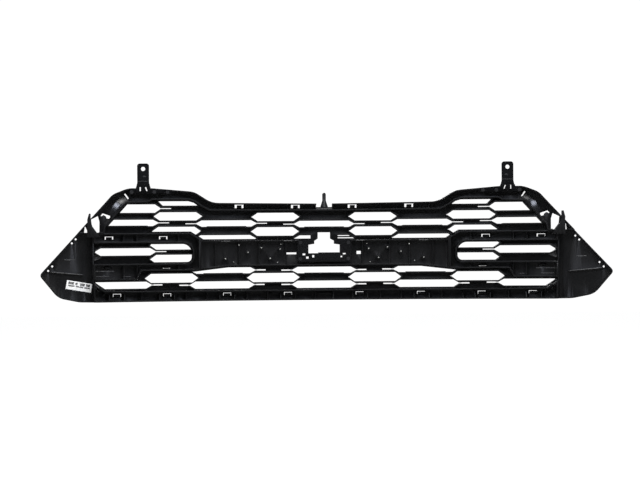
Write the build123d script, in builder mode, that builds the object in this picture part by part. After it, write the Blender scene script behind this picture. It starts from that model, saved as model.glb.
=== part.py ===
from build123d import *
from math import asin, cos, radians, sin, sqrt
import os

# The front of the grille faces -Y, +Z is up and +X is the left side of the vehicle.
# The origin is the middle of the underside of the lower rail.

# Bow and lean shared by every moulding
PLAN_RADIUS = 1500.0
LEAN = 6.0
LEAN_SIN = sin(radians(LEAN))
LEAN_COS = cos(radians(LEAN))
SLAB_REACH = 460.0
VIEW_START = 80.0
VIEW_REACH = 420.0

# Depths behind the rear face of the skin, negative towards the front
SKIN_FRONT = -3.0
SKIN_REAR = 0.0
RAIL_DEPTH = 26.0
WING_DEPTH = 18.0
BAND_DEPTH = 22.0
BAR_DEPTH = 18.0
MESH_DEPTH = 14.0
TRIM_FRONT = -7.0
TRIM_REAR = -3.3
TONGUE_REAR = 7.0
BARB_FRONT = 2.5
WALL = 3.0
THIN_WALL = 2.2
PARTING = 0.4
SEAM = 0.02
OVERLAP = 1.0

# Outer outline, right half, from the top centre round to the bottom centre
TOP_CENTRE_Z = 221.5
OUTLINE_CORNERS = (
    (0, TOP_CENTRE_Z),
    (259, 224.5),
    (299, 250),
    (395, 258),
    (449, 258),
    (483.5, 244.5),
    (498.5, 227.5),
    (648, 63),
    (607, 11),
    (560, 1),
    (520, 0),
    (0, 0),
)
OUTLINE_RADII = (55, 45, 120, 50, 40, 40, 9, 40, 60, 60)

# Where the mouldings meet, right half
PORT_TOP_Z = 156.6
PORT_END_X = 286.0
BAR_TOP_Z = 138.6
BAR_LOW_Z = 79.4
BAR_ARCH_X = 222.0
BAND_LOW_Z = 70.3
BAND_LOW_X = 300.0
BAND_STEP_X = 420.0
SLOPE_LOW_X = 279.0
SLOPE_TOP_X = 308.0
MESH_STEP_X = 430.0
MESH_STEP_Z = 50.0
WING_X = 527.0
LOWER_RAIL_Z = 24.0
CORNER_Z = 43.0
CORNER_FOOT = (503.0, 26.5)
CORNER_START = (430.0, 25.0)
WINDOW_CORNERS = (
    (0, 205),
    (264, 206.5),
    (284, 217),
    (298, 227.5),
    (312, 231.6),
    (394, 231.6),
    (404, 226),
    (452, 225),
    (500, 171),
    (503, PORT_TOP_Z),
)
FAR_X = 720.0
PORT_WINDOW = (302.2, 87.0, 134.0)
PORT_CORNERS = (14.0, 24.0)
BAR_END_Z = BAR_LOW_Z - (BAR_LOW_Z - BAND_LOW_Z) * (PORT_END_X - BAR_ARCH_X) / (BAND_LOW_X - BAR_ARCH_X)
SLOPE_MID_Z = BAR_TOP_Z + (PORT_TOP_Z - BAR_TOP_Z) * (PORT_END_X - SLOPE_LOW_X) / (SLOPE_TOP_X - SLOPE_LOW_X)

# Hexagon lattice of the mesh
PITCH = 224.0
PITCH_Z = 190.2
PITCH_FAN = 0.075
ROW_RISE = 0.00006
TIP_RUN = 14.0
SLIT_LIP = 5.0
WINDOW_LIP = 3.0
RIM = 3.2
GROOVE = (34.0, 1.7)
SLIT_LENGTH = 26.0
SLIT_HEIGHT = 1.8
WIDE_SLIT_HEIGHT = 2.6
STEP_HALF = 46.0
STEP_RISE = 1.3

# Rows of openings: height, columns counted in pitches, half length, opening height, slit height, step
UPPER_ROWS = (
    (228.4, (1.5,), 53, 28.4, 0, 0),
    (206.65, (2,), 71, 19, SLIT_HEIGHT, 0),
    (190.4, (0.5, 1.5), 55.5, 18.8, 0, 0),
    (174.9, (0, 1, 2), 71, 14.4, SLIT_HEIGHT, STEP_RISE),
    (157.3, (0.5, 1.5), 55.5, 19.6, 0, 0),
    (140.85, (0, 1), 71, 15.6, 0, 0),
)
LOWER_ROWS = (
    (69, (0, 1), 75.5, 14.6, WIDE_SLIT_HEIGHT, STEP_RISE),
    (52, (0.5, 1.5), 61, 20.6, 0, 0),
    (36, (0, 1), 75.5, 16.6, WIDE_SLIT_HEIGHT, 0),
    (37, (2,), 75.5, 15.6, WIDE_SLIT_HEIGHT, 0),
)
PORT_CELLS = ((344.7, 128.6, 55.5, 20), (344.7, 96.6, 55.5, 20), (456, 114.1, 70, 16.6))
STEM_BLOCK = (62.0, 30.0)
BRIDGE = (-48.0, 145.2, 34.0, 3.4)

# Stepped opening in the centre bar
OPENING_CORNERS = (
    (0, 155.4),
    (14.2, 155.4),
    (14.2, 141),
    (23.3, 136),
    (23.3, 129),
    (36.7, 127),
    (36.7, 107.5),
    (0, 107.5),
)
OPENING_LIP = (-11.0, 108.3, 48.0, 2.0)
OPENING_WALL = 5.0
FRAME_HALF_X = 62.0
FRAME_LOW_Z = 88.0
FRAME_TOP_Z = 139.0
FRAME_REAR = 21.0
FRAME_SCREWS = ((55, 95), (55, 132))
BAR_SLOTS = (
    (75, 107.5, 23, 4.2),
    (46.5, 105, 7.5, 4),
    (38.5, 97.5, 7, 4.8),
    (25, 100.5, 6, 5.4),
    (-80.5, 108.5, 10, 7),
    (-46.5, 106, 8, 3),
    (-40, 99.5, 5.5, 3.4),
)

# Snap windows and their tongues
SNAP_SIZE = (20.5, 8.0)
SMALL_SNAP_SIZE = (16.0, 5.0)
BARB_HEIGHT = 2.0
UPPER_SNAPS = ((65.5, 215.3), (195.5, 216.2))
UPPER_TONGUE = (11.0, 5.2)
UPPER_GAP = (4.5, 2.2)
LOWER_SNAPS = ((83, 15), (224, 15), (362, 15), (476, 15.5))
LOWER_TONGUE = (16.0, 5.0)
LOWER_GAP = (1.0, 1.7)
PORT_SNAPS = ((370, 146), (493, 146))
PORT_TONGUE = (14.0, 4.6)
PORT_GAP = (2.4, 1.9)
PORT_LOW_SNAPS = ((363, 78), (496, 78))
PORT_LOW_TONGUE = (12.0, 3.0)
GUSSET_SHIFT = 17.0

# Ribs
RIB_REACH = 80.0
RIB_SHARE = 0.45
RAIL_RIBS = ((21, 0), (130, 0), (178, 0), (270, 0), (318, 0), (420, 0))
RAIL_LEDGE = (0.0, 15.0)
GUSSET_TOP_Z = 17.0
CORNER_RIBS = ((513, 31), (503, 19))
CORNER_RIB_LENGTH = 13.0
CORNER_RIB_TILT = 45.0
TOP_RIBS = (130.0, 240.0)
BAND_RIBS = (335.0, 430.0, 460.0)
BAR_RIBS = (88.0, 150.0, 196.0, 250.0)
SHOULDER_CONE = (440.0, 190.0, 62.0, 36.0, 14.0)
SHOULDER_SWEEP = ((440, 190), (440, 300), (560, 300), (560, 190))

# Trim strips
UPPER_TRIM = (262.0, 207.5, 219.5)
LOWER_TRIM = (522.0, 5.0, 22.0)
TRIM_INSET = 6.0
NOTCH_CLEAR = 1.0
COVER_STAKES = ((228, 97), (125, 97), (176, 111), (145, 121), (102, 118))
STAKE_RADIUS = 2.5
STAKE_HEAD = (3.9, 1.5)

# Brackets, pin, locators and label
HOLE_SPACING = 829.0
HOLE_Z = 301.7
HOLE_RADIUS = 4.75
TAB_WIDTH = 27.0
TAB_TOP_Z = 314.0
TAB_FOOT_Z = 246.0
TAB_THICKNESS = 3.0
TAB_CORNER = 6.0
FOOT_HALF = 48.0
FOOT_SLOT = (2.6, 9.0, 6.8, -20.0)
FOOT_SLOT_Z = 256.0
FOOT_NOTCH = (HOLE_SPACING / 2, 256.5)
FOOT_NOTCH_SIZE = (24.0, 10.0)
FOOT_SHIFT = 17.0
FLARE = 3.0
TAB_ROOT_Z = 258.6
COLLAR_HEIGHT = 8.0
FLARE_HEIGHT = 12.0
SCREW_OFFSETS = (-38.0, -8.0, 43.0)
SCREW_Z = 249.5
SCREW_RADIUS = 2.0
SCREW_HEAD = 4.2
SCREW_HEAD_HEIGHT = 2.4
SCREW_CLEAR = 0.15
BOSS_RADIUS = 4.4
PIN_RADIUS = 4.2
PIN_BASE_RADIUS = 9.0
PIN_BASE_Z = 213.5
PIN_NECK_Z = 228.0
PIN_TOP_Z = 246.5
PIN_DEPTH = 11.0
NOTCH_HALF = 18.5
NOTCH_FLOOR_Z = 209.5
LOCATOR_CORNERS = (
    (512, 148),
    (541, 148),
    (541, 164),
    (540, 180),
    (540.5, 187),
    (536.5, 201.5),
    (532.5, 200.5),
    (533, 184),
    (529, 172),
)
LOCATOR_DEPTH = (26.0, 34.0)
LOCATOR_ROUND = 1.5
THUMB_HOLE = ((514.5, 158.5), (521, 158), (531, 172), (532.5, 188), (517.5, 195.5), (514, 183))
LEG_HOLE = ((540, 158.2), (548.5, 158.2), (546.5, 174))
SHOULDER_SLOT = (452.5, 240.0, 3.0, 14.0, -35.0)
HAND_HOLE = (
    (511, 196.5),
    (507, 201.5),
    (505.5, 201.3),
    (490, 196),
    (490, 192.8),
    (492.5, 189.5),
    (498, 190.5),
    (499, 194.5),
    (504.5, 198.3),
    (509.3, 195.2),
)
WING_RIB = (626.0, 72.0, 552.0, 64.5)
EDGE_HOLES = ((567.5, 143.5), (576, 134.5), (620, 83), (629, 73))
EDGE_HOLE_RADIUS = 2.2
LABEL_CENTRE = (561.0, 37.0)
LABEL_SIZE = (57.0, 20.0)
LABEL_TILT = 10.0
LABEL_THICKNESS = 0.35

FRONT_VIEW = Plane.XZ.offset(VIEW_START)
LEAN_PLANE = Plane(origin=(0, 0, 0), x_dir=(1, 0, 0), z_dir=(0, LEAN_SIN, LEAN_COS))


def bow_y(x, z, depth):
    """Y of the bowed, leaning surface that lies this deep behind the skin."""
    radius = PLAN_RADIUS - depth
    return (PLAN_RADIUS + z * LEAN_SIN - sqrt(radius**2 - x**2)) / LEAN_COS


def slab(front, rear):
    """Curved slab between two depths, which gives every moulding its bow."""
    with BuildPart() as shell:
        with BuildSketch(LEAN_PLANE):
            with Locations((0, PLAN_RADIUS)):
                Circle(PLAN_RADIUS - front)
                Circle(PLAN_RADIUS - rear, mode=Mode.SUBTRACT)
        extrude(amount=SLAB_REACH, both=True)
    return shell.part


def layer(profile, front, rear):
    """Front-view profile given material between two depths."""
    with BuildPart() as sheet:
        with BuildSketch(FRONT_VIEW):
            add(profile)
        extrude(amount=-VIEW_REACH)
        add(slab(front, rear), mode=Mode.INTERSECT)
    return sheet.part


def closed_face(points, mirror_too=True):
    """Face inside straight lines, mirrored to the other side where asked."""
    with BuildSketch() as face:
        Polygon(*points)
        if mirror_too:
            mirror(about=Plane.YZ)
    return face.sketch


def outline():
    """Whole front view of the grille."""
    with BuildSketch() as face:
        with BuildLine():
            FilletPolyline(*OUTLINE_CORNERS, radius=OUTLINE_RADII)
            Line(OUTLINE_CORNERS[-1], OUTLINE_CORNERS[0])
        make_face()
        mirror(about=Plane.YZ)
    return face.sketch


def within(shape, region):
    """Part of a face inside a region, pulled back a hair from the seam round the region."""
    return common(shape, inset(region, SEAM / 2))


def border(face, width):
    """Strip of this width along the inside of a face's edge."""
    return minus(face, inset(face, width))


def minus(face, *cuts):
    """Face with other faces taken out of it."""
    with BuildSketch() as rest:
        add(face)
        for cut in cuts:
            add(cut, mode=Mode.SUBTRACT)
    return rest.sketch


def plus(*faces):
    """Faces joined into one."""
    with BuildSketch() as whole:
        for face in faces:
            add(face)
    return whole.sketch


def common(face, region):
    """Part of a face that lies in a region."""
    with BuildSketch() as shared:
        add(face)
        add(region, mode=Mode.INTERSECT)
    return shared.sketch


# Regions of the front view


def window_region():
    """Opening of the surround that the upper mesh fills."""
    foot = ((SLOPE_TOP_X, PORT_TOP_Z), (SLOPE_LOW_X, BAR_TOP_Z), (0, BAR_TOP_Z))
    return closed_face((*WINDOW_CORNERS, *foot))


def bar_region():
    """Ground of the centre bar."""
    return closed_face(
        (
            (0, BAR_TOP_Z),
            (SLOPE_LOW_X, BAR_TOP_Z),
            (PORT_END_X, SLOPE_MID_Z),
            (PORT_END_X, BAR_END_Z),
            (BAR_ARCH_X, BAR_LOW_Z),
            (0, BAR_LOW_Z),
        )
    )


def band_region():
    """Ground of the left port band with the port left solid."""
    return closed_face(
        (
            (PORT_END_X, SLOPE_MID_Z),
            (SLOPE_TOP_X, PORT_TOP_Z),
            (WING_X, PORT_TOP_Z),
            (WING_X, MESH_STEP_Z),
            (MESH_STEP_X, MESH_STEP_Z),
            (BAND_STEP_X, BAND_LOW_Z),
            (BAND_LOW_X, BAND_LOW_Z),
            (PORT_END_X, BAR_END_Z),
        ),
        mirror_too=False,
    )


def port_region():
    """Left port window with its rounded inner end."""
    inner, low, top = PORT_WINDOW
    with BuildSketch() as face:
        with BuildLine():
            FilletPolyline((WING_X, low), (inner, low), (inner, top), (WING_X, top), radius=PORT_CORNERS)
            Line((WING_X, top), (WING_X, low))
        make_face()
    return face.sketch


def lower_region():
    """Opening of the surround that the lower mesh fills."""
    return closed_face(
        (
            (0, BAR_LOW_Z),
            (BAR_ARCH_X, BAR_LOW_Z),
            (BAND_LOW_X, BAND_LOW_Z),
            (BAND_STEP_X, BAND_LOW_Z),
            (MESH_STEP_X, MESH_STEP_Z),
            (WING_X, MESH_STEP_Z),
            (WING_X, CORNER_Z),
            CORNER_FOOT,
            CORNER_START,
            (0, LOWER_RAIL_Z),
        )
    )


def wing_region():
    """Ground of the left wing panel."""
    return closed_face(
        ((WING_X, PORT_TOP_Z), (FAR_X, PORT_TOP_Z), (FAR_X, -PORT_TOP_Z), (WING_X, -PORT_TOP_Z)),
        mirror_too=False,
    )


def opening_face():
    """Stepped opening of the centre bar, with a low lip along most of its foot."""
    x, z, width, height = OPENING_LIP
    with BuildSketch() as face:
        add(closed_face(OPENING_CORNERS))
        with Locations((x, z)):
            Rectangle(width, height, mode=Mode.SUBTRACT)
    return face.sketch


# Mesh lattice


def cell(x, z, half, height, step=0):
    """Stretched hexagon, with a raised step in its lower edge where asked, drawn into the sketch at hand."""
    flat = half - TIP_RUN
    rise = height / 2
    corners = [(-half, 0), (-flat, rise), (flat, rise), (half, 0), (flat, -rise)]
    if step:
        corners += [(STEP_HALF, -rise), (STEP_HALF - step, step - rise)]
        corners += [(step - STEP_HALF, step - rise), (-STEP_HALF, -rise)]
    with Locations((x, z)):
        Polygon(*corners, (-flat, -rise))


def slits(x, z, half, length, height):
    """Thin slits that run on from both tips of a hexagon."""
    with Locations((x - half - length / 2 + RIM, z), (x + half + length / 2 - RIM, z)):
        Rectangle(length, height)


def places_in(z, columns):
    """Centres of one row's openings on the left side, on a pitch that widens towards the bottom."""
    pitch = PITCH + PITCH_FAN * (PITCH_Z - z)
    return [(column * pitch, z * (1 + ROW_RISE * column * pitch)) for column in columns]


def lattice(rows):
    """All hexagons of the rows."""
    with BuildSketch() as cells:
        for row_z, columns, half, height, _, step in rows:
            for x, z in places_in(row_z, columns):
                cell(x, z, half, height, step)
        mirror(about=Plane.YZ)
    return cells.sketch


def tip_slits(rows):
    """Slits through the web at the tips of the rows that have them."""
    with BuildSketch() as cuts:
        for row_z, columns, half, _, slit, _ in rows:
            if slit:
                for x, z in places_in(row_z, columns):
                    slits(x, z, half, SLIT_LENGTH, slit)
        mirror(about=Plane.YZ)
    return cuts.sketch


def tip_grooves(rows):
    """Gaps in the walls at the tips of all rows."""
    with BuildSketch() as gaps:
        for row_z, columns, half, *_ in rows:
            for x, z in places_in(row_z, columns):
                slits(x, z, half, *GROOVE)
        mirror(about=Plane.YZ)
    return gaps.sketch


def port_cells():
    """Openings of the left port mesh."""
    with BuildSketch() as cells:
        for x, z, half, height in PORT_CELLS:
            cell(x, z, half, height)
    return common(cells.sketch, inset(port_region(), WALL))


def inset(face, amount):
    """Face shrunk all round."""
    with BuildSketch() as small:
        add(face)
        offset(amount=-amount, mode=Mode.REPLACE)
    return small.sketch


def rims(openings):
    """Walls that run round every opening."""
    with BuildSketch() as grown:
        add(openings)
        offset(amount=RIM, mode=Mode.REPLACE)
    return minus(grown.sketch, openings)


def upper_opening_face():
    """All hexagons of the upper mesh, cut short by its surround and bridged beside the stepped opening."""
    x, z, width, height = BRIDGE
    with BuildSketch() as blocked:
        with Locations((0, BAR_TOP_Z)):
            Rectangle(*STEM_BLOCK)
        with Locations((x, z)):
            Rectangle(width, height)
    cells = minus(lattice(UPPER_ROWS), blocked.sketch)
    return common(cells, inset(window_region(), WINDOW_LIP))


def lower_opening_face():
    """All hexagons of the lower mesh, cut short by its surround."""
    return common(lattice(LOWER_ROWS), inset(lower_region(), WINDOW_LIP))


# Snap windows and tongues


def plates(places, size):
    """Rectangles of one size, as windows or pads."""
    with BuildSketch() as panes:
        with Locations(*places):
            Rectangle(*size)
    return panes.sketch


def snap_windows(places):
    """Windows that the trim tongues reach through."""
    return plates(places, SNAP_SIZE)


def tongues(places, size, window_height):
    """Tongues that stand on the lower edge of their windows."""
    width, height = size
    with BuildSketch() as hooks:
        for x, z in places:
            with Locations((x, z - window_height / 2 + height / 2 + PARTING)):
                Rectangle(width, height)
    return hooks.sketch


def tongue_gaps(places, size, gap):
    """Gaps above and beside the tongues that show through the trim."""
    width, height = size
    side, top = gap
    around = (width + 2 * side, height + top)
    return minus(tongues(places, around, SNAP_SIZE[1]), tongues(places, size, SNAP_SIZE[1]))


def shoulder_slots():
    """Slanted slot through each shoulder."""
    x, z, width, height, tilt = SHOULDER_SLOT
    with BuildSketch() as slots:
        with Locations((x, z)):
            Rectangle(width, height, rotation=tilt)
        mirror(about=Plane.YZ)
    return slots.sketch


def mirrored(places):
    """Places on the left side and their mirror images."""
    return [(side * x, z) for x, z in places for side in (1, -1)]


def trim(face, places, size, window_height=SNAP_SIZE[1]):
    """Front trim strip with snap tongues and barbs."""
    width, height = size
    barbs = tongues(places, (width, height + BARB_HEIGHT / 2), window_height)
    with BuildPart() as strip:
        add(layer(face, TRIM_FRONT, TRIM_REAR))
        add(layer(tongues(places, size, window_height), TRIM_FRONT + OVERLAP, TONGUE_REAR))
        add(layer(barbs, BARB_FRONT, TONGUE_REAR))
    return strip.part


def dots(places, radius):
    """Round spots for bosses, screws and holes."""
    with BuildSketch() as spots:
        with Locations(*places):
            Circle(radius)
    return spots.sketch


def tray(ground, depth, ribs, cuts, bosses=None):
    """Moulding with a thin front skin, a wall along its edge, lower ribs and full-height bosses."""
    edge = border(ground, WALL)
    walls = minus(plus(edge, common(bosses, ground)) if bosses else edge, *cuts)
    with BuildPart() as moulding:
        add(layer(minus(ground, *cuts), SKIN_FRONT, SKIN_REAR))
        add(layer(walls, SKIN_REAR - OVERLAP, depth))
        add(layer(minus(common(ribs, ground), *cuts), SKIN_REAR - OVERLAP, depth * RIB_SHARE))
    return moulding.part


def posts(places, height):
    """Thin upright stiffening ribs."""
    with BuildSketch() as ribs:
        with Locations(*places):
            Rectangle(THIN_WALL, height)
    return ribs.sketch


# Surround


def shoulder_slopes(ground):
    """Conical webs that stiffen the bends of the shoulders."""
    x, z, wide, narrow, rise = SHOULDER_CONE
    turn = asin(x / PLAN_RADIUS)
    base = Plane(origin=(x, bow_y(x, z, SKIN_REAR - OVERLAP), z), z_dir=(-sin(turn), cos(turn), -LEAN_SIN))
    seat = (Align.CENTER, Align.CENTER, Align.MIN)
    room = layer(common(ground, closed_face(SHOULDER_SWEEP)), SKIN_REAR - OVERLAP, RAIL_DEPTH)
    with BuildPart() as webs:
        with Locations(base):
            Cone(wide, narrow, rise, align=seat)
            Cone(wide - THIN_WALL, narrow - THIN_WALL, rise, align=seat, mode=Mode.SUBTRACT)
        mirror(about=Plane.YZ)
        add(room, mode=Mode.INTERSECT)
    return webs.part


def make_upper_rail(whole):
    """Top rail with both shoulders and the legs beside the mesh."""
    with BuildSketch() as above:
        with Locations((0, PORT_TOP_Z)):
            Rectangle(2 * FAR_X, FAR_X, align=(Align.CENTER, Align.MIN))
    with BuildSketch() as notch:
        with Locations((0, NOTCH_FLOOR_Z)):
            Rectangle(2 * NOTCH_HALF, FAR_X, align=(Align.CENTER, Align.MIN))
    ground = within(minus(whole, window_region()), above.sketch)
    screws = bracket_screw_places()
    rib_places = [(x, TOP_CENTRE_Z) for x in (NOTCH_HALF + OVERLAP, *TOP_RIBS)]
    ribs = posts(mirrored(rib_places), RIB_REACH)
    cuts = (
        snap_windows(mirrored(UPPER_SNAPS)),
        closed_face(THUMB_HOLE),
        closed_face(HAND_HOLE),
        closed_face(LEG_HOLE),
        shoulder_slots(),
        plates(mirrored([FOOT_NOTCH]), FOOT_NOTCH_SIZE),
        notch.sketch,
    )
    holes = dots(screws, SCREW_RADIUS + SCREW_CLEAR)
    with BuildPart() as rail:
        add(tray(ground, RAIL_DEPTH, ribs, cuts, dots(screws, BOSS_RADIUS)))
        add(shoulder_slopes(minus(ground, *cuts)))
        add(layer(holes, SKIN_REAR, RAIL_DEPTH + WALL), mode=Mode.SUBTRACT)
    return rail.part


def corner_ribs():
    """Slanted ribs at both ends of the lower rail."""
    with BuildSketch() as ribs:
        with Locations(*CORNER_RIBS):
            Rectangle(THIN_WALL, CORNER_RIB_LENGTH, rotation=CORNER_RIB_TILT)
        mirror(about=Plane.YZ)
    return ribs.sketch


def make_lower_rail(whole):
    """Bottom rail between the wing panels."""
    with BuildSketch() as middle:
        Rectangle(2 * WING_X, FAR_X)
    ground = within(minus(whole, window_region(), lower_region(), bar_region()), middle.sketch)
    with BuildSketch() as below:
        Rectangle(2 * FAR_X, 2 * MESH_STEP_Z)
    ground = common(ground, below.sketch)
    gussets = [(x + side * GUSSET_SHIFT, 0) for x, z in LOWER_SNAPS for side in (1, -1)]
    ribs = plus(
        posts(mirrored(RAIL_RIBS), RIB_REACH),
        posts(mirrored(gussets), 2 * GUSSET_TOP_Z),
        plates([RAIL_LEDGE], (2 * RAIL_RIBS[0][0], THIN_WALL)),
        corner_ribs(),
    )
    return tray(ground, RAIL_DEPTH, ribs, (snap_windows(mirrored(LOWER_SNAPS)),))


def make_wing(whole):
    """Pointed wing panel, left side."""
    ground = within(whole, wing_region())
    x_tip, z_tip, x_root, z_root = WING_RIB
    rib = ((x_tip, z_tip), (x_root, z_root), (x_root, z_root - THIN_WALL), (x_tip, z_tip - THIN_WALL))
    ribs = closed_face(rib, mirror_too=False)
    return tray(ground, WING_DEPTH, ribs, (dots(EDGE_HOLES, EDGE_HOLE_RADIUS),))


def make_band(whole):
    """C-shaped band round the left port."""
    ground = within(minus(whole, port_region()), band_region())
    ribs = posts([(x, 0) for x in BAND_RIBS], FAR_X)
    windows = (snap_windows(PORT_SNAPS), plates(PORT_LOW_SNAPS, SMALL_SNAP_SIZE))
    return tray(ground, BAND_DEPTH, ribs, windows)


def vents():
    """Small clip slots through the bar beside and below its stepped opening."""
    with BuildSketch() as slots:
        for x, z, width, height in BAR_SLOTS:
            with Locations((x, z)):
                Rectangle(width, height)
    return slots.sketch


def make_bar(whole):
    """Wide centre bar with ribs round the stepped opening."""
    ground = within(whole, bar_region())
    opening = opening_face()
    with BuildSketch() as grown:
        add(opening)
        offset(amount=OPENING_WALL, mode=Mode.REPLACE)
    ribs = posts(mirrored([(x, 0) for x in BAR_RIBS]), FAR_X)
    bosses = plus(
        grown.sketch,
        dots(mirrored(COVER_STAKES), BOSS_RADIUS),
        dots(mirrored(FRAME_SCREWS), BOSS_RADIUS),
    )
    holes = plus(dots(mirrored(COVER_STAKES), STAKE_RADIUS + SCREW_CLEAR), vents())
    with BuildPart() as bar:
        add(tray(ground, BAR_DEPTH, ribs, (opening, holes), bosses))
        add(
            layer(dots(mirrored(FRAME_SCREWS), SCREW_RADIUS + SCREW_CLEAR), SKIN_REAR, BAR_DEPTH + OVERLAP),
            mode=Mode.SUBTRACT,
        )
    return bar.part


# Mesh inserts


def mesh_part(ground, openings, through_slits, grooves):
    """Thin web with slits, and a deeper wall round every opening that the grooves part."""
    walls = common(minus(rims(openings), grooves), ground)
    with BuildPart() as mesh:
        add(layer(minus(ground, openings, through_slits), SKIN_FRONT, SKIN_REAR))
        add(layer(walls, SKIN_REAR - OVERLAP, MESH_DEPTH))
    return mesh.part


def make_mesh_upper(whole):
    """Upper hexagon mesh."""
    ground = minus(within(whole, window_region()), opening_face())
    slots = common(tip_slits(UPPER_ROWS), inset(window_region(), SLIT_LIP))
    return mesh_part(ground, upper_opening_face(), slots, tip_grooves(UPPER_ROWS))


def make_mesh_lower(whole):
    """Lower hexagon mesh."""
    ground = within(whole, lower_region())
    slots = common(tip_slits(LOWER_ROWS), inset(lower_region(), SLIT_LIP))
    return mesh_part(ground, lower_opening_face(), slots, tip_grooves(LOWER_ROWS))


def port_slits(length, height):
    """Slits at the inner tip of the middle opening of the port mesh."""
    x, z, half, _ = PORT_CELLS[-1]
    with BuildSketch() as slots:
        with Locations((x - half - length / 2 + RIM, z)):
            Rectangle(length, height)
    return slots.sketch


def make_port_mesh(whole):
    """Small mesh in the left port."""
    ground = within(whole, port_region())
    return mesh_part(ground, port_cells(), port_slits(SLIT_LENGTH, SLIT_HEIGHT), port_slits(*GROOVE))


# Front trims


def make_upper_garnish():
    """Strip on the front of the upper rail."""
    half, low, top = UPPER_TRIM
    bridge_height = NOTCH_FLOOR_Z - low - PARTING
    with BuildSketch() as face:
        for side in (1, -1):
            with Locations((side * (half + NOTCH_HALF) / 2, (low + top) / 2)):
                Rectangle(half - NOTCH_HALF - NOTCH_CLEAR, top - low)
        with Locations((0, low)):
            Rectangle(2 * NOTCH_HALF + TRIM_INSET, bridge_height, align=(Align.CENTER, Align.MIN))
    snaps = mirrored(UPPER_SNAPS)
    return trim(minus(face.sketch, tongue_gaps(snaps, UPPER_TONGUE, UPPER_GAP)), snaps, UPPER_TONGUE)


def make_lower_garnish():
    """Strip on the front of the lower rail."""
    half, low, top = LOWER_TRIM
    with BuildSketch() as face:
        with Locations((0, (low + top) / 2)):
            Rectangle(2 * half, top - low)
    snaps = mirrored(LOWER_SNAPS)
    return trim(minus(face.sketch, tongue_gaps(snaps, LOWER_TONGUE, LOWER_GAP)), snaps, LOWER_TONGUE)


def make_port_garnish(whole):
    """C-shaped strip on the front of the left port band."""
    ground = within(minus(whole, port_region()), band_region())
    face = minus(inset(ground, TRIM_INSET), tongue_gaps(PORT_SNAPS, PORT_TONGUE, PORT_GAP))
    pads = plates(PORT_LOW_SNAPS, PORT_LOW_TONGUE)
    with BuildPart() as strip:
        add(trim(face, PORT_SNAPS, PORT_TONGUE))
        add(trim(pads, PORT_LOW_SNAPS, PORT_LOW_TONGUE, SMALL_SNAP_SIZE[1]))
    return strip.part


def make_bar_cover(whole):
    """Plain cover on the front of the centre bar."""
    face = minus(inset(within(whole, bar_region()), WALL), opening_face(), vents())
    return layer(face, TRIM_FRONT, TRIM_REAR)


def make_cover_stakes():
    """Stakes that hold the cover to the centre bar."""
    places = mirrored(COVER_STAKES)
    head_radius, head_height = STAKE_HEAD
    with BuildPart() as stakes:
        add(layer(dots(places, STAKE_RADIUS), TRIM_REAR, BAR_DEPTH))
        add(layer(dots(places, head_radius), BAR_DEPTH, BAR_DEPTH + head_height))
    return stakes.part


# Hardware


def bracket_screw_places():
    """Screws through the feet of both brackets."""
    foot_x = HOLE_SPACING / 2 - FOOT_SHIFT
    return mirrored([(foot_x + shift, SCREW_Z) for shift in SCREW_OFFSETS])


def make_bracket(whole):
    """Left mounting bracket: a flat tab on a foot that follows the shoulder."""
    tab_x = HOLE_SPACING / 2
    foot_x = tab_x - FOOT_SHIFT
    slot_width, slot_height, slot_shift, slot_tilt = FOOT_SLOT
    with BuildSketch() as strip:
        with Locations((foot_x, TAB_FOOT_Z)):
            Rectangle(2 * FOOT_HALF, TAB_TOP_Z - TAB_FOOT_Z, align=(Align.CENTER, Align.MIN))
    foot = minus(
        common(strip.sketch, whole),
        dots(bracket_screw_places(), SCREW_RADIUS + SCREW_CLEAR),
    )
    tab_y = bow_y(tab_x, FOOT_SLOT_Z, RAIL_DEPTH + WALL / 2)
    with BuildPart() as collar:
        with BuildSketch(Plane.XZ.offset(-tab_y)):
            with Locations((tab_x, TAB_ROOT_Z - WALL)):
                Rectangle(TAB_WIDTH + 2 * FLARE, COLLAR_HEIGHT + WALL)
        extrude(amount=COLLAR_HEIGHT, both=True)
        add(slab(RAIL_DEPTH, RAIL_DEPTH + COLLAR_HEIGHT), mode=Mode.INTERSECT)
    with BuildPart() as bracket:
        with BuildSketch(Plane.XZ.offset(-tab_y)):
            with Locations((tab_x, TAB_ROOT_Z)):
                Rectangle(TAB_WIDTH, FLARE_HEIGHT, align=(Align.CENTER, Align.MIN))
                Polygon(
                    (-TAB_WIDTH / 2 - FLARE, 0),
                    (TAB_WIDTH / 2 + FLARE, 0),
                    (TAB_WIDTH / 2, FLARE_HEIGHT),
                    (-TAB_WIDTH / 2, FLARE_HEIGHT),
                )
            with Locations((tab_x, (TAB_TOP_Z + TAB_ROOT_Z + OVERLAP) / 2)):
                RectangleRounded(TAB_WIDTH, TAB_TOP_Z - TAB_ROOT_Z - OVERLAP, TAB_CORNER)
        extrude(amount=TAB_THICKNESS / 2, both=True)
        add(collar.part)
        add(layer(foot, RAIL_DEPTH, RAIL_DEPTH + WALL))
        with BuildSketch(FRONT_VIEW):
            with Locations((tab_x, HOLE_Z)):
                Circle(HOLE_RADIUS)
            with Locations((tab_x + slot_shift, FOOT_SLOT_Z)):
                Rectangle(slot_width, slot_height)
            with Locations((tab_x - slot_shift, FOOT_SLOT_Z)):
                Rectangle(slot_width, slot_height, rotation=slot_tilt)
        extrude(amount=-VIEW_REACH, mode=Mode.SUBTRACT)
    return bracket.part


def make_screws(places, under_head, tip):
    """Pan-head screws along the depth of the grille."""
    with BuildPart() as screws:
        add(layer(dots(places, SCREW_HEAD), under_head, under_head + SCREW_HEAD_HEIGHT))
        add(layer(dots(places, SCREW_RADIUS), tip, under_head + OVERLAP))
    return screws.part


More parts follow.
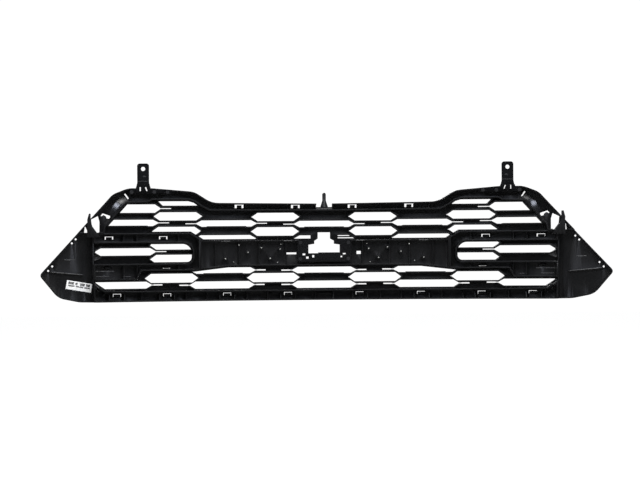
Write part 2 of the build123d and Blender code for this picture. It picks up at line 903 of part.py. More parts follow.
def make_pin():
    """Locating pin that stands in the notch of the upper rail."""
    pin_y = bow_y(0, NOTCH_FLOOR_Z, PIN_DEPTH)
    with BuildPart() as pin:
        with BuildSketch(Plane.XZ.offset(-pin_y)):
            with BuildLine():
                side = Polyline(
                    (0, PIN_BASE_Z),
                    (PIN_BASE_RADIUS, PIN_BASE_Z),
                    (PIN_RADIUS, PIN_NECK_Z),
                    (PIN_RADIUS, PIN_TOP_Z - PIN_RADIUS),
                )
                RadiusArc(side @ 1, (0, PIN_TOP_Z), -PIN_RADIUS)
                Line((0, PIN_TOP_Z), (0, PIN_BASE_Z))
            make_face()
        revolve(axis=Axis((0, pin_y, 0), (0, 0, 1)))
        with Locations((0, pin_y, NOTCH_FLOOR_Z + PARTING / 2)):
            Box(
                2 * NOTCH_HALF - 2 * PARTING,
                2 * PIN_DEPTH,
                PIN_BASE_Z - NOTCH_FLOOR_Z - PARTING / 2,
                align=(Align.CENTER, Align.CENTER, Align.MIN),
            )
    return pin.part


def make_locator():
    """Curved fin that guides the left edge into the bumper."""
    with BuildSketch() as fin:
        Polygon(*LOCATOR_CORNERS)
        fillet(fin.vertices().group_by(Axis.Y)[-1], LOCATOR_ROUND)
    front, rear = LOCATOR_DEPTH
    return layer(fin.sketch, front, rear)


def make_opening_frame():
    """Frame on the rear of the centre bar round the stepped opening."""
    with BuildSketch() as face:
        with Locations((0, (FRAME_LOW_Z + FRAME_TOP_Z) / 2)):
            RectangleRounded(2 * FRAME_HALF_X, FRAME_TOP_Z - FRAME_LOW_Z, OPENING_WALL)
    screws = dots(mirrored(FRAME_SCREWS), SCREW_RADIUS + SCREW_CLEAR)
    return layer(minus(face.sketch, opening_face(), screws, vents()), BAR_DEPTH, FRAME_REAR)


def make_label():
    """Blank parts label on the left wing."""
    with BuildSketch() as face:
        with Locations(LABEL_CENTRE):
            Rectangle(*LABEL_SIZE, rotation=LABEL_TILT)
    return layer(face.sketch, SKIN_REAR, LABEL_THICKNESS)


def save(label, shape):
    """Write one piece under its own name."""
    with BuildPart() as piece:
        add(shape)
    piece.part.label = label
    export_step(piece.part, f"parts/{label}.step")


def save_pair(label, shape):
    """Write a left piece and its mirror image on the right."""
    save(f"{label}_left", shape)
    with BuildPart() as other:
        add(shape)
        mirror(about=Plane.YZ, mode=Mode.REPLACE)
    save(f"{label}_right", other.part)


os.makedirs("parts", exist_ok=True)
front_face = outline()
save("upper_rail", make_upper_rail(front_face))
save("lower_rail", make_lower_rail(front_face))
save("centre_bar", make_bar(front_face))
save("mesh_upper", make_mesh_upper(front_face))
save("mesh_lower", make_mesh_lower(front_face))
save("upper_garnish", make_upper_garnish())
save("lower_garnish", make_lower_garnish())
save("centre_bar_cover", make_bar_cover(front_face))
save("cover_stakes", make_cover_stakes())
save("bracket_screws", make_screws(bracket_screw_places(), RAIL_DEPTH + WALL, RAIL_DEPTH / 2))
save("frame_screws", make_screws(mirrored(FRAME_SCREWS), FRAME_REAR, BAR_DEPTH / 2))
save("centre_locating_pin", make_pin())
save("opening_frame", make_opening_frame())
save("parts_label", make_label())
save_pair("wing_panel", make_wing(front_face))
save_pair("port_band", make_band(front_face))
save_pair("port_mesh", make_port_mesh(front_face))
save_pair("port_garnish", make_port_garnish(front_face))
save_pair("mounting_bracket", make_bracket(front_face))
save_pair("edge_locator", make_locator())
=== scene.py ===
"""Looks of the front grille: materials, small moulded details, studio light, floor and camera."""
import math

import bmesh
import bpy
from mathutils import Matrix, Vector
from mathutils.bvhtree import BVHTree


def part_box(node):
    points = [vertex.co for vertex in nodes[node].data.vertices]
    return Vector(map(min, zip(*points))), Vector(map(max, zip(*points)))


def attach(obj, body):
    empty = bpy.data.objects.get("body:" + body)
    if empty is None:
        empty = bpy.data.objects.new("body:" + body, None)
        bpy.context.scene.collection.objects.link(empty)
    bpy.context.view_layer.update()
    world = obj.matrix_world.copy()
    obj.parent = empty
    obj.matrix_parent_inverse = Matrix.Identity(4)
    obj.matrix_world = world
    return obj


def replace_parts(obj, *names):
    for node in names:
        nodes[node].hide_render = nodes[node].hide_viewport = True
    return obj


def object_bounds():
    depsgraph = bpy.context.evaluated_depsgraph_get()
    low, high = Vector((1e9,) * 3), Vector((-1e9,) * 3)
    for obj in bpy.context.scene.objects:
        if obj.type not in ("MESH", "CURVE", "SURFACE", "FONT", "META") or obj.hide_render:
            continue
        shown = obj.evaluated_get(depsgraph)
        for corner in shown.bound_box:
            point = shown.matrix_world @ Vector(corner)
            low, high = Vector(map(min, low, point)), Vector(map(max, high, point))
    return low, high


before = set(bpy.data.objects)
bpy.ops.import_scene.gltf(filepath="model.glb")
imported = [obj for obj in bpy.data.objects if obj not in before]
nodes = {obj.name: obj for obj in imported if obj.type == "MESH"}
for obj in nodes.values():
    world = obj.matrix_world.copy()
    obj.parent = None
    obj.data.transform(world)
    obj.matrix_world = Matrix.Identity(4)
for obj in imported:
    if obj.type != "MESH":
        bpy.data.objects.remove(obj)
cad_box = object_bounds()

# Camera: place in metres, angles in degrees, lens and sensor in millimetres
CAMERA_PLACE = Vector((0.3866, 6.5, 0.1393))
CAMERA_YAW = 3.333
CAMERA_PITCH = 0.013
CAMERA_ROLL = -0.433
CAMERA_LENS = 158.44
CAMERA_SENSOR = 36.0
CAMERA_RANGE = (0.1, 100.0)

# Background as the camera sees it, and as the light that fills the shadows
SEEN_STRENGTH = 1.05
FILL_STRENGTH = 0.05
FILL_COLOUR = (0.95, 0.97, 1, 1)

# Polished spot on the bend of each shoulder: place, full and faded radius, and roughness taken off
SHOULDER_X = 0.479
SHOULDER_Z = 0.226
POLISH_RADII = (0.012, 0.030)
POLISH = 0.22

# Softboxes: name, place, point aimed at, width and height, power in watts, colour
WHITE = (1, 1, 1)
COOL = (0.80, 0.85, 1)
SOFTBOXES = (
    ("key_box", (0.0, 3.2, 2.3), (0, 0, 0.15), (1.5, 0.8), 45, WHITE),
    ("top_box", (0.0, 0.2, 2.4), (0, 0, 0.15), (2.4, 0.9), 24, WHITE),
    ("left_box", (2.8, 1.2, 0.9), (0.3, 0, 0.15), (0.8, 1.4), 13, WHITE),
    ("right_box", (-2.8, 1.2, 0.9), (-0.3, 0, 0.15), (0.8, 1.4), 13, WHITE),
    ("front_box", (0.6, -3.0, 1.8), (0, 0, 0.12), (2.4, 1.2), 60, WHITE),
    ("left_glint_box", (0.82, 1.84, 0.94), (SHOULDER_X, 0.105, SHOULDER_Z), (0.3, 0.3), 6.5, COOL),
    ("right_glint_box", (-1.04, 1.78, 0.93), (-SHOULDER_X, 0.105, SHOULDER_Z), (0.3, 0.3), 6.5, COOL),
)

FLOOR_DROP = 0.35
FLOOR_SIZE = 24.0
FLOOR_GRID = 8

# Edges of the mouldings: loose corners joined, then edges sharper than the angle rounded
WELD_DISTANCE = 1e-5
EDGE_ROUNDING = 0.0003
EDGE_SEGMENTS = 2
EDGE_ANGLE = 35.0

# Plastics: colour, colour of dust, roughness, grains a metre, depth of the grain
MOULDING_PLASTIC = ((0.0050, 0.0050, 0.0053), (0.010, 0.010, 0.010), 0.30, 1300, 4e-5)
MESH_PLASTIC = ((0.0042, 0.0042, 0.0045), (0.009, 0.009, 0.009), 0.34, 1600, 3e-5)
TRIM_PLASTIC = ((0.0050, 0.0051, 0.0055), (0.008, 0.008, 0.009), 0.10, 2600, 6e-6)

# Coated steels: colour, roughness, gloss
BRACKET_PAINT = ((0.0030, 0.0030, 0.0034), 0.22, 0.14)
SCREW_FINISH = ((0.012, 0.012, 0.013), 0.34, 0.35)

# Weight of the fine octaves of every noise, gloss of the plastics, and clear coat of the front trim
NOISE_ROUGHNESS = 0.55
PLASTIC_SPECULAR = 0.42
TRIM_COAT = 0.35
TRIM_COAT_ROUGHNESS = 0.08

# Parts label, tilted in the front view, and the generic print in its upper half
LABEL_TILT = 10.0
LABEL_SIZE = (0.057, 0.020)
LABEL_LIFT = (0.00005, 0.00035)
LABEL_STEPS = (24, 8)
PRINT_LIFT = (0.00030, 0.00042)
PRINT_STEPS = (1, 2)

# Rows of print: height of the row's middle, height of its bars, and start and length of each group
PRINT_ROWS = (
    (0.0048, 0.0056, ((-0.0245, 0.0135), (-0.0085, 0.0055), (0.0020, 0.0110), (0.0150, 0.0095))),
    (-0.0012, 0.0034, ((-0.0240, 0.0150), (-0.0070, 0.0065), (0.0015, 0.0085), (0.0120, 0.0125))),
)
PRINT_BAR = 0.0013
PRINT_WIDTHS = (0.60, 1.65, 1.30, 0.95)
PRINT_GAPS = (0.12, 0.36, 0.24)

# Raised details: left-hand places (x, z) in the front view, in metres
TAB_BEND = ((0.4015, 0.2736), (0.4275, 0.2736))
TAB_DIMPLE = (0.4120, 0.2844)
WING_LINE = ((0.626, 0.0709), (0.552, 0.0634))
WING_TICK = ((0.593, 0.0975), (0.570, 0.0975))
BAR_TICKS = (((0.216, 0.1368), (0.238, 0.1368)), ((0.072, 0.1368), (0.094, 0.1368)))
CORNER_LINES = (((0.5255, 0.0435), (0.5155, 0.0325)), ((0.5245, 0.0340), (0.5170, 0.0235)))
PORT_LINES = (
    ((0.5265, 0.0705), (0.4810, 0.0705)),
    ((0.5227, 0.0585), (0.4920, 0.0585)),
    ((0.4620, 0.0580), (0.4430, 0.0580)),
)
PORT_FLARE = ((0.5260, 0.1075), (0.5260, 0.0950), (0.5080, 0.1010))
STAKE_TIPS = (
    (0.228, 0.097),
    (0.125, 0.097),
    (0.176, 0.111),
    (0.145, 0.121),
    (0.102, 0.118),
    (0.099, 0.129),
    (0.107, 0.087),
    (0.209, 0.089),
    (0.196, 0.128),
)

# Width and height of the ridges, and radii and height of the domes
TAB_BEND_SIZE = (0.0022, 0.0009)
WING_LINE_SIZE = (0.0020, 0.0008)
PORT_LINE_SIZE = (0.0022, 0.0008)
BAR_TICK_SIZE = (0.0020, 0.0009)
CORNER_LINE_SIZE = (0.0018, 0.0008)
TAB_DIMPLE_SIZE = ((0.0042, 0.0022), 0.0009)
STAKE_TIP_SIZE = ((0.0015, 0.0012), 0.0008)

# Every raised detail is set this far into the moulding; ridges taper by this power to this share
SINK = 0.0001
RIDGE_TAPER = 6
RIDGE_END = 0.02
FLARE_SLOPE = 0.55


def make_camera():
    """Camera behind the grille, level with its middle."""
    yaw, pitch, roll = (math.radians(v) for v in (180 + CAMERA_YAW, CAMERA_PITCH, CAMERA_ROLL))
    ahead = Vector((math.sin(yaw) * math.cos(pitch), math.cos(yaw) * math.cos(pitch), -math.sin(pitch)))
    right = ahead.cross(Vector((0, 0, 1))).normalized()
    up = right.cross(ahead)
    rolled_right = math.cos(roll) * right + math.sin(roll) * up
    rolled_up = math.cos(roll) * up - math.sin(roll) * right
    turn = Matrix((rolled_right, rolled_up, -ahead)).transposed().to_4x4()
    data = bpy.data.cameras.new("camera")
    data.lens = CAMERA_LENS
    data.sensor_width = CAMERA_SENSOR
    data.clip_start, data.clip_end = CAMERA_RANGE
    camera = bpy.data.objects.new("camera", data)
    camera.matrix_world = Matrix.Translation(CAMERA_PLACE) @ turn
    bpy.context.scene.collection.objects.link(camera)
    bpy.context.scene.camera = camera


def make_world():
    """White to look at, and dim as a light, so that the softboxes shape the black plastic."""
    world = bpy.data.worlds.new("studio")
    bpy.context.scene.world = world
    world.use_nodes = True
    tree = world.node_tree
    tree.nodes.clear()
    out = tree.nodes.new("ShaderNodeOutputWorld")
    mix = tree.nodes.new("ShaderNodeMixShader")
    path = tree.nodes.new("ShaderNodeLightPath")
    seen = tree.nodes.new("ShaderNodeBackground")
    fill = tree.nodes.new("ShaderNodeBackground")
    seen.inputs["Color"].default_value = (1, 1, 1, 1)
    seen.inputs["Strength"].default_value = SEEN_STRENGTH
    fill.inputs["Color"].default_value = FILL_COLOUR
    fill.inputs["Strength"].default_value = FILL_STRENGTH
    tree.links.new(path.outputs["Is Camera Ray"], mix.inputs["Fac"])
    tree.links.new(fill.outputs["Background"], mix.inputs[1])
    tree.links.new(seen.outputs["Background"], mix.inputs[2])
    tree.links.new(mix.outputs["Shader"], out.inputs["Surface"])
    bpy.context.scene.view_settings.view_transform = "Standard"


def softbox(name, place, target, size, power, colour):
    """Rectangular soft light aimed at a point."""
    data = bpy.data.lights.new(name, "AREA")
    data.shape = "RECTANGLE"
    data.size, data.size_y = size
    data.energy = power
    data.color = colour
    light = bpy.data.objects.new(name, data)
    light.location = place
    light.rotation_euler = (Vector(target) - Vector(place)).to_track_quat("-Z", "Y").to_euler()
    bpy.context.scene.collection.objects.link(light)
    light.visible_camera = False


class Tree:
    """Short names for building a material's nodes."""

    def __init__(self, name):
        self.material = bpy.data.materials.new(name)
        self.material.use_nodes = True
        self.tree = self.material.node_tree
        self.shader = self.tree.nodes["Principled BSDF"]
        self.place = self.node("ShaderNodeTexCoord").outputs["Object"]

    def node(self, kind, **settings):
        made = self.tree.nodes.new(kind)
        for key, value in settings.items():
            setattr(made, key, value)
        return made

    def link(self, source, target):
        self.tree.links.new(source, target)

    def noise(self, scale, detail=3.0, stretch=(1, 1, 1)):
        """Noise of about that many features a metre, stretched along the axes."""
        mapping = self.node("ShaderNodeMapping")
        mapping.inputs["Scale"].default_value = stretch
        self.link(self.place, mapping.inputs["Vector"])
        noise = self.node("ShaderNodeTexNoise")
        noise.inputs["Scale"].default_value = scale
        noise.inputs["Detail"].default_value = detail
        noise.inputs["Roughness"].default_value = NOISE_ROUGHNESS
        self.link(mapping.outputs["Vector"], noise.inputs["Vector"])
        return noise.outputs["Fac"]

    def cells(self, scale):
        """Distance to the nearest of scattered points, that many a metre."""
        grain = self.node("ShaderNodeTexVoronoi")
        grain.inputs["Scale"].default_value = scale
        self.link(self.place, grain.inputs["Vector"])
        return grain.outputs["Distance"]

    def ramp(self, source, stops):
        """Colour or grey level by source, through (place, colour) stops."""
        ramp = self.node("ShaderNodeValToRGB")
        elements = ramp.color_ramp.elements
        while len(elements) < len(stops):
            elements.new(0.5)
        for element, (place, colour) in zip(elements, stops):
            element.position = place
            level = colour if isinstance(colour, tuple) else (colour, colour, colour)
            element.color = (*level, 1)
        self.link(source, ramp.inputs["Fac"])
        return ramp.outputs["Color"]

    def math(self, operation, first, second):
        node = self.node("ShaderNodeMath", operation=operation)
        for socket, value in zip(node.inputs, (first, second)):
            if isinstance(value, (int, float)):
                socket.default_value = value
            else:
                self.link(value, socket)
        return node.outputs["Value"]

    def mix(self, share, first, second):
        """Colour between first and second by share."""
        node = self.node("ShaderNodeMix", data_type="RGBA")
        self.link(share, node.inputs["Factor"])
        for socket, value in ((node.inputs["A"], first), (node.inputs["B"], second)):
            if isinstance(value, tuple):
                socket.default_value = (*value, 1)
            else:
                self.link(value, socket)
        return node.outputs["Result"]

    def bump(self, height, depth, strength, below=None):
        """Bump of that depth in metres, on top of another bump."""
        node = self.node("ShaderNodeBump")
        node.inputs["Distance"].default_value = depth
        node.inputs["Strength"].default_value = strength
        self.link(height, node.inputs["Height"])
        if below is not None:
            self.link(below, node.inputs["Normal"])
        return node.outputs["Normal"]


def shoulder_polish(t):
    """1 on the polished spot of each shoulder, fading to 0 around it."""
    parts = t.node("ShaderNodeSeparateXYZ")
    t.link(t.place, parts.inputs["Vector"])
    across = t.math("SUBTRACT", t.math("ABSOLUTE", parts.outputs["X"], 0), SHOULDER_X)
    up = t.math("SUBTRACT", parts.outputs["Z"], SHOULDER_Z)
    squares = t.math("ADD", t.math("MULTIPLY", across, across), t.math("MULTIPLY", up, up))
    full, faded = POLISH_RADII
    return t.ramp(t.math("SQRT", squares, 0), [(full, 1.0), (faded, 0.0)])


def moulded_plastic(name, base, dust, rough, grain_scale, grain_depth, polished=False):
    """Black moulded plastic: fine grain, flow marks and faint dust, with polished shoulders where asked."""
    t = Tree(name)
    flow = t.noise(9.0, detail=4.0, stretch=(1, 1, 2.5))
    specks = t.ramp(t.noise(900.0, detail=2.0), [(0.70, 0.0), (0.80, 1.0)])
    haze = t.ramp(t.noise(26.0, detail=5.0), [(0.48, 0.0), (0.78, 0.55)])
    colour = t.ramp(flow, [(0.3, base), (0.7, tuple(v * 1.5 for v in base))])
    colour = t.mix(haze, colour, dust)
    colour = t.mix(t.math("MULTIPLY", specks, 0.35), colour, tuple(v * 4 for v in dust))
    t.link(colour, t.shader.inputs["Base Color"])
    uneven = t.math("ADD", t.math("MULTIPLY", t.noise(55.0, detail=4.0), 0.16), rough)
    if polished:
        uneven = t.math("SUBTRACT", uneven, t.math("MULTIPLY", shoulder_polish(t), POLISH))
    t.link(uneven, t.shader.inputs["Roughness"])
    grain = t.bump(t.cells(grain_scale), depth=grain_depth, strength=0.5)
    wave = t.bump(t.noise(14.0, detail=2.0), depth=0.0006, strength=0.25, below=grain)
    t.link(wave, t.shader.inputs["Normal"])
    return t


def make_materials():
    """One material for each kind of moulding, metal, paper and print."""
    moulding = moulded_plastic("moulding_plastic", *MOULDING_PLASTIC)
    rail = moulded_plastic("rail_plastic", *MOULDING_PLASTIC, polished=True)
    mesh = moulded_plastic("mesh_plastic", *MESH_PLASTIC)
    gloss = moulded_plastic("trim_plastic", *TRIM_PLASTIC)
    gloss.shader.inputs["Coat Weight"].default_value = TRIM_COAT
    gloss.shader.inputs["Coat Roughness"].default_value = TRIM_COAT_ROUGHNESS
    for t in (moulding, rail, mesh, gloss):
        t.shader.inputs["Specular IOR Level"].default_value = PLASTIC_SPECULAR
    return {
        "moulding": moulding.material,
        "rail": rail.material,
        "mesh": mesh.material,
        "trim": gloss.material,
        "bracket": painted_metal("bracket_paint", *BRACKET_PAINT),
        "fastener": painted_metal("screw_finish", *SCREW_FINISH),
        "label": label_paper(),
        "ink": print_ink(),
        # glint and line: pale and light grey colours that are painted glints on the tips and painted
        # highlights on the raised lines
        "glint": painted_glint_plastic(),
        "line": painted_highlight_plastic(),
    }


def painted_metal(name, base, rough, gloss):
    """Black coated steel: orange peel and small bare chips."""
    t = Tree(name)
    t.shader.inputs["Specular IOR Level"].default_value = gloss
    chips = t.ramp(t.noise(420.0, detail=3.0), [(0.70, 0.0), (0.74, 1.0)])
    tone = t.ramp(t.noise(30.0, detail=3.0), [(0.35, base), (0.75, tuple(v * 1.6 for v in base))])
    t.link(t.mix(chips, tone, (0.16, 0.16, 0.15)), t.shader.inputs["Base Color"])
    t.link(t.math("MULTIPLY", chips, 0.7), t.shader.inputs["Metallic"])
    t.link(t.math("ADD", t.math("MULTIPLY", t.noise(80.0), 0.2), rough), t.shader.inputs["Roughness"])
    t.link(t.bump(t.noise(700.0, detail=2.0), depth=5e-5, strength=0.4), t.shader.inputs["Normal"])
    return t.material


def label_paper():
    """White paper label: fibres, faint yellowing and a little soiling."""
    t = Tree("label_paper")
    fibre = t.ramp(t.noise(1500.0, detail=3.0), [(0.3, (0.80, 0.80, 0.78)), (0.7, (0.90, 0.90, 0.89))])
    soil = t.ramp(t.noise(160.0, detail=4.0), [(0.52, 0.0), (0.75, 0.5)])
    t.link(t.mix(soil, fibre, (0.66, 0.64, 0.58)), t.shader.inputs["Base Color"])
    t.shader.inputs["Roughness"].default_value = 0.62
    t.link(t.bump(t.noise(900.0, detail=4.0), depth=4e-5, strength=0.5), t.shader.inputs["Normal"])
    return t.material


def print_ink():
    """Uneven black ink, worn thin in spots."""
    t = Tree("print_ink")
    tone = t.ramp(t.noise(1200.0, detail=3.0), [(0.45, (0.010, 0.010, 0.011)), (0.75, (0.045, 0.045, 0.045))])
    t.link(tone, t.shader.inputs["Base Color"])
    t.link(t.ramp(t.noise(600.0, detail=2.0), [(0.3, 0.55), (0.7, 0.75)]), t.shader.inputs["Roughness"])
    return t.material


def painted_highlight_plastic():
    """Black plastic along raised lines, coloured light grey as a painted highlight on the lines and flares.
    """
    t = Tree("painted_highlight_plastic")
    tone = t.ramp(t.noise(240.0, detail=3.0), [(0.3, (0.03, 0.03, 0.03)), (0.7, (0.11, 0.11, 0.11))])
    t.link(tone, t.shader.inputs["Base Color"])
    t.link(t.ramp(t.noise(300.0, detail=2.0), [(0.3, 0.20), (0.7, 0.36)]), t.shader.inputs["Roughness"])
    t.link(t.bump(t.noise(900.0, detail=2.0), depth=4e-5, strength=0.4), t.shader.inputs["Normal"])
    return t.material


def painted_glint_plastic():
    """Melted tips of stakes and clips, coloured pale as painted glints."""
    t = Tree("painted_glint_plastic")
    tone = t.ramp(t.noise(700.0, detail=3.0), [(0.3, (0.24, 0.24, 0.22)), (0.7, (0.62, 0.62, 0.58))])
    t.link(tone, t.shader.inputs["Base Color"])
    t.link(t.ramp(t.noise(500.0, detail=2.0), [(0.3, 0.22), (0.7, 0.42)]), t.shader.inputs["Roughness"])
    t.link(t.bump(t.noise(1100.0, detail=2.0), depth=5e-5, strength=0.4), t.shader.inputs["Normal"])
    return t.material


FINISHES = {
    "rail": ("upper_rail",),
    "mesh": ("mesh_upper", "mesh_lower", "port_mesh_left", "port_mesh_right"),
    "trim": (
        "upper_garnish",
        "lower_garnish",
        "centre_bar_cover",
        "opening_frame",
        "port_garnish_left",
        "port_garnish_right",
    ),
    "bracket": ("mounting_bracket_left", "mounting_bracket_right"),
    "fastener": ("bracket_screws", "frame_screws"),
}


def dress_nodes(materials):
    """Gives every CAD node its finish and softly broken edges; what isn't listed is the main moulding."""
    listed = {name: finish for finish, names in FINISHES.items() for name in names}
    for name, node in nodes.items():
        finish = listed.get(name, "moulding")
        for holder in node.material_slots:
            holder.material = materials[finish]
        weld = node.modifiers.new("weld", "WELD")
        weld.merge_threshold = WELD_DISTANCE
        rounding = node.modifiers.new("rounding", "BEVEL")
        rounding.width = EDGE_ROUNDING
        rounding.segments = EDGE_SEGMENTS
        rounding.limit_method = "ANGLE"
        rounding.angle_limit = math.radians(EDGE_ANGLE)
        rounding.harden_normals = True


def rear_surface(*names):
    """Function that gives the point of these nodes' rear surface at a front-view place."""
    corners, faces = [], []
    for name in names:
        first = len(corners)
        corners += [nodes[name].matrix_world @ v.co for v in nodes[name].data.vertices]
        faces += [[first + i for i in polygon.vertices] for polygon in nodes[name].data.polygons]
    tree = BVHTree.FromPolygons(corners, faces)

    def point_at(x, z, lift=0.0):
        place = tree.ray_cast(Vector((x, 1, z)), Vector((0, -1, 0)))[0]
        if place is None:
            place = Vector((x, tree.find_nearest(Vector((x, 0.1, z)))[0].y, z))
        return place + Vector((0, lift, 0))

    return point_at


def add_piece(name, shape, material, smooth=True):
    """Finished mesh as a piece of the grille, with its faces turned outwards."""
    bmesh.ops.recalc_face_normals(shape, faces=shape.faces)
    mesh = bpy.data.meshes.new(name)
    shape.to_mesh(mesh)
    shape.free()
    mesh.materials.append(material)
    for polygon in mesh.polygons:
        polygon.use_smooth = smooth
    piece = bpy.data.objects.new(name, mesh)
    bpy.context.scene.collection.objects.link(piece)
    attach(piece, "root")
    return piece


def add_ridge(shape, surface, line, size, steps=16, turns=8):
    """Half-round ridge with rounded ends along a front-view line, set into the surface."""
    start, end = (Vector(place) for place in line)
    width, height = size
    side = Vector((start.y - end.y, end.x - start.x)).normalized()
    rings = []
    for step in range(steps + 1):
        share = step / steps
        swell = math.sqrt(max(RIDGE_END, 1 - abs(2 * share - 1) ** RIDGE_TAPER))
        centre = start.lerp(end, share)
        ring = []
        for turn in range(turns + 1):
            angle = math.pi * turn / turns
            spot = centre + side * (math.cos(angle) * width / 2 * swell)
            lift = height * math.sin(angle) * swell - SINK
            ring.append(shape.verts.new(surface(spot.x, spot.y, lift)))
        rings.append(ring)
    for first, second in zip(rings, rings[1:]):
        close_rim(shape, first, second)
    shape.faces.new(rings[0])
    shape.faces.new(rings[-1])


def add_dome(shape, surface, centre, size, rings=5, turns=16):
    """Low round or oval dome at a front-view place, set into the surface."""
    x, z = centre
    radii, height = size
    loops = []
    for ring in range(rings):
        angle = math.pi / 2 * ring / rings
        loop = []
        for turn in range(turns):
            around = 2 * math.pi * turn / turns
            across = radii[0] * math.cos(angle) * math.cos(around)
            up = radii[1] * math.cos(angle) * math.sin(around)
            place = surface(x + across, z + up)
            place.y = surface(x, z).y + height * math.sin(angle) - (0 if ring else SINK)
            loop.append(shape.verts.new(place))
        loops.append(loop)
    for lower, upper in zip(loops, loops[1:]):
        close_rim(shape, lower, upper)
    tip = shape.verts.new(surface(x, z, height))
    for turn in range(turns):
        shape.faces.new((loops[-1][turn], loops[-1][(turn + 1) % turns], tip))
    shape.faces.new(loops[0])


def close_rim(shape, low, high):
    """Faces between two loops of corners that run the same way."""
    for here in range(len(low)):
        after = (here + 1) % len(low)
        shape.faces.new((low[here], low[after], high[after], high[here]))


def add_wedge(shape, surface, corners, slope):
    """Three-cornered gusset whose face rises towards its foot."""
    crown = max(z for x, z in corners)
    base = min(surface(x, z).y for x, z in corners) - SINK
    low = [shape.verts.new((x, base, z)) for x, z in corners]
    high = [shape.verts.new((x, surface(x, z, 3 * SINK).y + slope * (crown - z), z)) for x, z in corners]
    shape.faces.new(low)
    shape.faces.new(high)
    close_rim(shape, low, high)


def add_sheet(shape, surface, centre, offset, size, lifts, steps):
    """Thin closed sheet on the surface; offset and size are along the tilted label."""
    turn = math.radians(LABEL_TILT)
    across = Vector((math.cos(turn), math.sin(turn)))
    up = Vector((-math.sin(turn), math.cos(turn)))
    columns, rows = steps
    layers = []
    for lift in lifts:
        grid = []
        for row in range(rows + 1):
            line = []
            for column in range(columns + 1):
                u = offset[0] + size[0] * (column / columns - 0.5)
                v = offset[1] + size[1] * (row / rows - 0.5)
                spot = centre + across * u + up * v
                line.append(shape.verts.new(surface(spot.x, spot.y, lift)))
            grid.append(line)
        layers.append(grid)
    for grid in layers:
        for near, far in zip(grid, grid[1:]):
            for column in range(columns):
                shape.faces.new((near[column], near[column + 1], far[column + 1], far[column]))
    low, high = (
        [grid[0][c] for c in range(columns)]
        + [grid[r][columns] for r in range(rows)]
        + [grid[rows][c] for c in range(columns, 0, -1)]
        + [grid[r][0] for r in range(rows, 0, -1)]
        for grid in layers
    )
    close_rim(shape, low, high)


def make_label(materials):
    """Paper label that follows the bow of the wing, printed with plain bars that say nothing."""
    low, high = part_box("parts_label")
    centre = Vector(((low.x + high.x) / 2, (low.z + high.z) / 2))
    surface = rear_surface("wing_panel_left")
    paper = bmesh.new()
    add_sheet(paper, surface, centre, (0, 0), LABEL_SIZE, LABEL_LIFT, LABEL_STEPS)
    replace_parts(add_piece("label_sheet", paper, materials["label"], smooth=False), "parts_label")
    ink = bmesh.new()
    for row, (up, height, groups) in enumerate(PRINT_ROWS):
        for group, (first, length) in enumerate(groups):
            across = first
            bar = row + group
            while across < first + length - PRINT_BAR:
                width = PRINT_BAR * PRINT_WIDTHS[bar % len(PRINT_WIDTHS)]
                offset = (-across - width / 2, up)
                add_sheet(ink, surface, centre, offset, (width, height), PRINT_LIFT, PRINT_STEPS)
                across += width + PRINT_BAR * PRINT_GAPS[bar % len(PRINT_GAPS)]
                bar += 1
    add_piece("label_print", ink, materials["ink"], smooth=False)


def mirrored(places, side):
    """Front-view places on the left side (1) or their mirror images (-1)."""
    return [(side * x, z) for x, z in places]


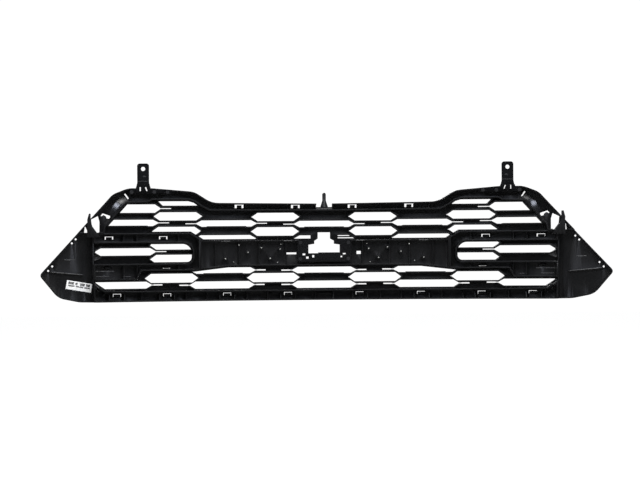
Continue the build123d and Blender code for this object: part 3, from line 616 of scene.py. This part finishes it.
def make_details(materials):
    """Raised lines, dimples and melted tips that the mouldings and tabs carry on their rear; the lines, ticks
    and flares carry painted highlights, and the tips painted glints.
    """
    bar = rear_surface("centre_bar", "cover_stakes")
    rail = rear_surface("lower_rail", "mesh_lower")
    for side, label in ((1, "left"), (-1, "right")):
        tab = rear_surface(f"mounting_bracket_{label}")
        marks = bmesh.new()
        add_ridge(marks, tab, mirrored(TAB_BEND, side), TAB_BEND_SIZE)
        add_dome(marks, tab, *mirrored([TAB_DIMPLE], side), TAB_DIMPLE_SIZE)
        add_piece(f"tab_marks_{label}", marks, materials["fastener"])

        # the flare, lines and ticks below are coloured light grey as painted highlights
        port = rear_surface(f"port_mesh_{label}", f"wing_panel_{label}")
        flare = bmesh.new()
        add_wedge(flare, port, mirrored(PORT_FLARE, side), FLARE_SLOPE)
        add_piece(f"port_flare_{label}", flare, materials["line"], smooth=False)

        wing = rear_surface(f"wing_panel_{label}")
        band = rear_surface(f"port_band_{label}")
        lines = bmesh.new()
        add_ridge(lines, wing, mirrored(WING_LINE, side), WING_LINE_SIZE, steps=40)
        add_ridge(lines, wing, mirrored(WING_TICK, side), WING_LINE_SIZE)
        for line in PORT_LINES:
            add_ridge(lines, band, mirrored(line, side), PORT_LINE_SIZE)
        add_piece(f"moulded_lines_{label}", lines, materials["line"])

        ticks = bmesh.new()
        for line in BAR_TICKS:
            add_ridge(ticks, bar, mirrored(line, side), BAR_TICK_SIZE)
        for line in CORNER_LINES:
            add_ridge(ticks, rail, mirrored(line, side), CORNER_LINE_SIZE)
        add_piece(f"moulded_ticks_{label}", ticks, materials["line"])

        # the tips are coloured pale as painted glints
        tips = bmesh.new()
        for centre in mirrored(STAKE_TIPS, side):
            add_dome(tips, bar, centre, STAKE_TIP_SIZE)
        add_piece(f"melted_tips_{label}", tips, materials["glint"])


def make_floor():
    """Plain pale floor below the grille."""
    t = Tree("floor_paper")
    tone = t.ramp(t.noise(260.0, detail=3.0), [(0.3, (0.93, 0.93, 0.93)), (0.7, (0.96, 0.96, 0.96))])
    t.link(tone, t.shader.inputs["Base Color"])
    t.link(tone, t.shader.inputs["Emission Color"])
    t.shader.inputs["Emission Strength"].default_value = 1.0
    t.shader.inputs["Roughness"].default_value = 0.8
    mesh = bpy.data.meshes.new("floor")
    shape = bmesh.new()
    bmesh.ops.create_grid(shape, x_segments=FLOOR_GRID, y_segments=FLOOR_GRID, size=FLOOR_SIZE / 2)
    shape.to_mesh(mesh)
    shape.free()
    mesh.materials.append(t.material)
    floor = bpy.data.objects.new("floor", mesh)
    floor.location = (0, 0, cad_box[0].z - FLOOR_DROP)
    bpy.context.scene.collection.objects.link(floor)
    floor.visible_glossy = False


make_camera()
make_world()
for box in SOFTBOXES:
    softbox(*box)
make_floor()
finishes = make_materials()
dress_nodes(finishes)
make_label(finishes)
make_details(finishes)
